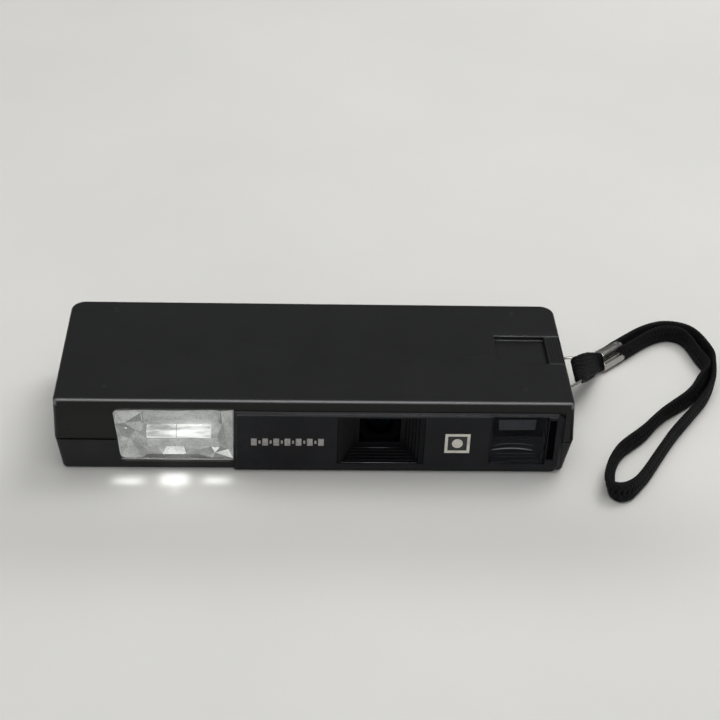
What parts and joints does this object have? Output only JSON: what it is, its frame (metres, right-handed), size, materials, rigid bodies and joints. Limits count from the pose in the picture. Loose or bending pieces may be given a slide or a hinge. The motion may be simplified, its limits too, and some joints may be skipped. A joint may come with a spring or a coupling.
{
  "type": "pocket flash camera",
  "caption": "Flat pocket camera lying on its top: stepped rectangular lens recess, built-in flash, viewfinder, sliding advance, hinged rear doors and a braided wrist strap on a wire lug.",
  "frame": {"origin": "Middle of the body's footprint on the surface it lies on. The camera lies on its top cover, so z = 0 is the top cover's outer face.", "axes": "+X along the body towards the strap end, +Y from the front (lens, flash, viewfinder) to the back, +Z towards the camera's underside, which faces up in this pose."},
  "size_m": [0.2188, 0.0946, 0.0273],
  "materials": {
    "shell_black": "satin black ABS with a fine grain",
    "fascia_black": "smooth black moulding",
    "inner_black": "dull black moulding",
    "badge_white": "moulded badge",
    "clear_plastic": "clear acrylic",
    "lens_glass": "coated glass",
    "foil": "bright reflector",
    "bright_steel": "nickel plated",
    "spring_steel": "drawn steel",
    "white_nylon": "white nylon",
    "board": "phenolic board",
    "component": "moulded components",
    "copper": "lacquered copper winding",
    "brass": "plain brass",
    "cap_sleeve": "shrink sleeve",
    "cell_jacket": "plain jacket",
    "lamp_amber": "amber lens",
    "strap_nylon": "braided nylon"
  },
  "bodies": {
    "camera_body": {"top_cover": "shell_black", "bottom_cover": "shell_black", "front_fascia": "fascia_black", "badge_plate": "badge_white", "lens_hood": "inner_black", "lens_barrel": "inner_black", "lens_retaining_ring": "inner_black", "front_lens_element": "lens_glass", "rear_lens_element": "lens_glass", "shutter_plate": "inner_black", "shutter_pivot_pin": "bright_steel", "shutter_spring": "spring_steel", "shutter_screws": "bright_steel", "inner_chassis": "inner_black", "chassis_screws": "bright_steel", "sensing_lever_pin": "brass", "gear_axle": "brass", "slide_return_spring": "spring_steel", "release_spring": "spring_steel", "viewfinder_window": "clear_plastic", "viewfinder_housing": "inner_black", "viewfinder_front_lens": "clear_plastic", "viewfinder_eyepiece": "clear_plastic", "flash_window": "clear_plastic", "flash_reflector": "foil", "xenon_tube": "clear_plastic", "tube_electrodes": "bright_steel", "flash_circuit_board": "board", "circuit_components": "component", "oscillator_transformer": "copper", "trigger_coil": "copper", "main_capacitor": "cap_sleeve", "ready_lamp": "lamp_amber", "ready_lamp_lens": "lamp_amber", "switch_contact": "brass", "battery_tray": "inner_black", "battery_cell_front": "cell_jacket", "battery_cell_rear": "cell_jacket", "battery_link_plate": "brass", "battery_contacts": "brass", "contact_springs": "spring_steel", "door_hinge_pin": "bright_steel", "strap_bail": "bright_steel", "flash_wiring": "strap_nylon"},
    "advance": {"advance_slide": "shell_black", "advance_rack": "white_nylon"},
    "takeup_gear": {"drive_gear": "white_nylon"},
    "release": {"release_button": "shell_black", "release_bar": "spring_steel"},
    "shutter": {"shutter_blade": "spring_steel"},
    "film_door_body": {"film_door": "shell_black", "film_door_window": "clear_plastic", "cartridge_springs": "spring_steel"},
    "latch": {"door_latch": "shell_black"},
    "battery_door_body": {"battery_door": "shell_black"},
    "flash_switch": {"flash_switch_knob": "shell_black"},
    "sensing": {"film_sensing_lever": "spring_steel"},
    "strap": {"wrist_strap": "strap_nylon", "strap_ferrule": "bright_steel"}
  },
  "joints": [
    {"name": "advance_slide_travel", "type": "slide", "parent": "camera_body", "child": "advance", "axis": [-1, 0, 0], "range_m": [0, 0.01571]},
    {"name": "takeup_drive", "type": "hinge", "parent": "camera_body", "child": "takeup_gear", "pos_m": [0.046, 0.0055, 0.0237], "axis": [0, 0, -1], "range_deg": [0, 151]},
    {"name": "release_press", "type": "slide", "parent": "camera_body", "child": "release", "axis": [0, 0, 1], "range_m": [0, 0.0015], "deforming": ["release_spring"]},
    {"name": "shutter_swing", "type": "hinge", "parent": "camera_body", "child": "shutter", "pos_m": [0.031, -0.011, 0.0065], "axis": [0, 1, 0], "range_deg": [0, 40]},
    {"name": "film_door_hinge", "type": "hinge", "parent": "camera_body", "child": "film_door_body", "pos_m": [-0.0198, 0.0263, 0.0135], "axis": [0, 0, 1], "range_deg": [0, 90]},
    {"name": "door_latch_slide", "type": "slide", "parent": "film_door_body", "child": "latch", "axis": [-1, 0, 0], "range_m": [0, 0.0015]},
    {"name": "battery_door_hinge", "type": "hinge", "parent": "camera_body", "child": "battery_door_body", "pos_m": [-0.049, 0.0263, 0.022], "axis": [1, 0, 0], "range_deg": [0, 95]},
    {"name": "flash_switch_slide", "type": "slide", "parent": "camera_body", "child": "flash_switch", "axis": [1, 0, 0], "range_m": [0, 0.0036]},
    {"name": "sensing_lever_swing", "type": "hinge", "parent": "camera_body", "child": "sensing", "pos_m": [0.0322, 0.001, 0.0211], "axis": [0, 0, 1], "range_deg": [0, 6]},
    {"name": "strap_swing", "type": "hinge", "parent": "camera_body", "child": "strap", "pos_m": [0.0873, 0.0099, 0.013], "axis": [0, -1, 0], "range_deg": [-15, 90]}
  ],
  "couplings": [
    {"joint": "takeup_drive", "follows": "advance_slide_travel", "rad_per_m": 166.67},
    {"joint": "shutter_swing", "follows": "release_press", "rad_per_m": 460}
  ]
}
